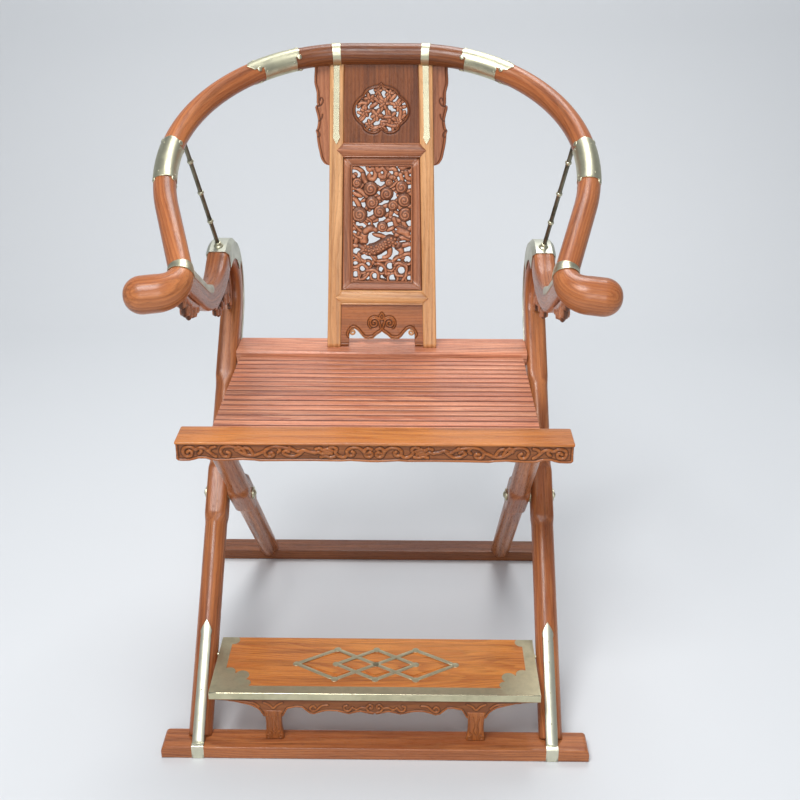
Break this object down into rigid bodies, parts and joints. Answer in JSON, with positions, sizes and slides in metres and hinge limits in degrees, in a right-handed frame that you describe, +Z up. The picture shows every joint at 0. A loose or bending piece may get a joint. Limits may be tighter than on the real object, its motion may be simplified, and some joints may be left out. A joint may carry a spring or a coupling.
{
  "type": "folding armchair",
  "caption": "Folding hardwood armchair with a sloping horseshoe back rail, bowed openwork splat, crossed legs, slatted seat, brass mounts and a tilting footrest.",
  "frame": {"origin": "on the floor, at the middle of the footprint of the two ground runners", "axes": "+Z up, -Y towards the front of the chair, +X across the seat"},
  "size_m": [0.7228, 0.641, 1.059],
  "materials": {
    "red_wood": "waxed reddish-brown hardwood with darker grain",
    "light_wood": "waxed golden hardwood",
    "carved_wood": "carved dark hardwood",
    "slat_wood": "waxed pinkish-brown slat",
    "pale_brass": "pale aged brass, satin",
    "dark_rod": "dark bronzed rod"
  },
  "bodies": {
    "arm_frame": {"front_runner": "red_wood", "arm_leg_left": "red_wood", "arm_leg_right": "red_wood", "rear_seat_rail": "red_wood", "crest_rail": "red_wood", "shoulder_rail_left": "red_wood", "shoulder_rail_right": "red_wood", "arm_rail_left": "red_wood", "arm_rail_right": "red_wood", "arm_curl_left": "red_wood", "arm_curl_right": "red_wood", "crest_sleeves": "pale_brass", "shoulder_sleeves": "pale_brass", "arm_rings": "pale_brass", "crest_bands": "pale_brass", "splat_stile_left": "light_wood", "splat_stile_right": "light_wood", "splat_mouldings": "light_wood", "splat_top_panel": "carved_wood", "splat_medallion": "carved_wood", "splat_carved_frame": "carved_wood", "splat_carving": "carved_wood", "splat_foot_panel": "light_wood", "splat_wings": "carved_wood", "stile_strips": "pale_brass", "brace_rods": "dark_rod", "rod_collars": "pale_brass", "elbow_plates": "pale_brass", "branch_straps": "pale_brass", "neck_brackets": "carved_wood", "curl_brackets": "carved_wood", "leg_strips": "pale_brass", "pivot_pins": "pale_brass"},
    "cross_frame": {"front_seat_rail": "light_wood", "cross_leg_left": "red_wood", "cross_leg_right": "red_wood", "rear_runner": "red_wood"},
    "footrest": {"footrest_board": "light_wood", "footrest_skirt": "light_wood", "footrest_edging": "pale_brass", "footrest_inlay": "pale_brass", "footrest_pins": "pale_brass"},
    "slat_01": {"slat_01": "slat_wood"},
    "slat_02": {"slat_02": "slat_wood"},
    "slat_03": {"slat_03": "slat_wood"},
    "slat_04": {"slat_04": "slat_wood"},
    "slat_05": {"slat_05": "slat_wood"},
    "slat_06": {"slat_06": "slat_wood"},
    "slat_07": {"slat_07": "slat_wood"},
    "slat_08": {"slat_08": "slat_wood"},
    "slat_09": {"slat_09": "slat_wood"},
    "slat_10": {"slat_10": "slat_wood"},
    "slat_11": {"slat_11": "slat_wood"},
    "slat_12": {"slat_12": "slat_wood"},
    "slat_13": {"slat_13": "slat_wood"},
    "slat_14": {"slat_14": "slat_wood"},
    "slat_15": {"slat_15": "slat_wood"},
    "slat_16": {"slat_16": "slat_wood"}
  },
  "joints": [
    {"name": "fold", "type": "hinge", "parent": "arm_frame", "child": "cross_frame", "pos_m": [0, 0.0095, 0.314], "axis": [-1, 0, 0], "range_deg": [0, 73]},
    {"name": "slat_01_turn", "type": "hinge", "parent": "arm_frame", "child": "slat_01", "pos_m": [0, 0.16962, 0.51], "axis": [1, 0, 0], "range_deg": [0, 84.05]},
    {"name": "slat_02_turn", "type": "hinge", "parent": "arm_frame", "child": "slat_02", "pos_m": [0, 0.16962, 0.51], "axis": [1, 0, 0], "range_deg": [0, 84.05]},
    {"name": "slat_03_turn", "type": "hinge", "parent": "arm_frame", "child": "slat_03", "pos_m": [0, 0.16962, 0.51], "axis": [1, 0, 0], "range_deg": [0, 84.05]},
    {"name": "slat_04_turn", "type": "hinge", "parent": "arm_frame", "child": "slat_04", "pos_m": [0, 0.16962, 0.51], "axis": [1, 0, 0], "range_deg": [0, 84.05]},
    {"name": "slat_05_turn", "type": "hinge", "parent": "arm_frame", "child": "slat_05", "pos_m": [0, 0.16962, 0.51], "axis": [1, 0, 0], "range_deg": [0, 84.05]},
    {"name": "slat_06_turn", "type": "hinge", "parent": "arm_frame", "child": "slat_06", "pos_m": [0, 0.16962, 0.51], "axis": [1, 0, 0], "range_deg": [0, 84.05]},
    {"name": "slat_07_turn", "type": "hinge", "parent": "arm_frame", "child": "slat_07", "pos_m": [0, 0.16962, 0.51], "axis": [1, 0, 0], "range_deg": [0, 84.05]},
    {"name": "slat_08_turn", "type": "hinge", "parent": "arm_frame", "child": "slat_08", "pos_m": [0, 0.16962, 0.51], "axis": [1, 0, 0], "range_deg": [0, 84.05]},
    {"name": "slat_09_turn", "type": "hinge", "parent": "arm_frame", "child": "slat_09", "pos_m": [0, 0.16962, 0.51], "axis": [1, 0, 0], "range_deg": [0, 84.05]},
    {"name": "slat_10_turn", "type": "hinge", "parent": "arm_frame", "child": "slat_10", "pos_m": [0, 0.16962, 0.51], "axis": [1, 0, 0], "range_deg": [0, 84.05]},
    {"name": "slat_11_turn", "type": "hinge", "parent": "slat_12", "child": "slat_11", "pos_m": [0, -0.04485, 0.51], "axis": [1, 0, 0], "range_deg": [0, 8.15]},
    {"name": "slat_12_turn", "type": "hinge", "parent": "slat_13", "child": "slat_12", "pos_m": [0, -0.06424, 0.51], "axis": [1, 0, 0], "range_deg": [0, 3.93]},
    {"name": "slat_13_turn", "type": "hinge", "parent": "slat_14", "child": "slat_13", "pos_m": [0, -0.08364, 0.51], "axis": [-1, 0, 0], "range_deg": [0, 0.385]},
    {"name": "slat_14_turn", "type": "hinge", "parent": "slat_15", "child": "slat_14", "pos_m": [0, -0.10304, 0.51], "axis": [-1, 0, 0], "range_deg": [0, 4.6]},
    {"name": "slat_15_turn", "type": "hinge", "parent": "slat_16", "child": "slat_15", "pos_m": [0, -0.12244, 0.51], "axis": [-1, 0, 0], "range_deg": [0, 8.82]},
    {"name": "slat_16_turn", "type": "hinge", "parent": "cross_frame", "child": "slat_16", "pos_m": [0, -0.14163, 0.51], "axis": [-1, 0, 0], "range_deg": [0, 19.68]},
    {"name": "footrest_tilt", "type": "hinge", "parent": "arm_frame", "child": "footrest", "pos_m": [0, -0.19406, 0.11375], "axis": [-1, 0, 0], "range_deg": [0, 100]}
  ],
  "couplings": [
    {"joint": "slat_01_turn", "follows": "fold", "ratio": 1.1507},
    {"joint": "slat_02_turn", "follows": "fold", "ratio": 1.1507},
    {"joint": "slat_03_turn", "follows": "fold", "ratio": 1.1507},
    {"joint": "slat_04_turn", "follows": "fold", "ratio": 1.1507},
    {"joint": "slat_05_turn", "follows": "fold", "ratio": 1.1507},
    {"joint": "slat_06_turn", "follows": "fold", "ratio": 1.1507},
    {"joint": "slat_07_turn", "follows": "fold", "ratio": 1.1507},
    {"joint": "slat_08_turn", "follows": "fold", "ratio": 1.1507},
    {"joint": "slat_09_turn", "follows": "fold", "ratio": 1.1507},
    {"joint": "slat_10_turn", "follows": "fold", "ratio": 1.1507},
    {"joint": "slat_11_turn", "follows": "fold", "ratio": 0.11096},
    {"joint": "slat_12_turn", "follows": "fold", "ratio": 0.053185},
    {"joint": "slat_13_turn", "follows": "fold", "ratio": 0.004589},
    {"joint": "slat_14_turn", "follows": "fold", "ratio": 0.062363},
    {"joint": "slat_15_turn", "follows": "fold", "ratio": 0.12014},
    {"joint": "slat_16_turn", "follows": "fold", "ratio": 0.2689}
  ]
}
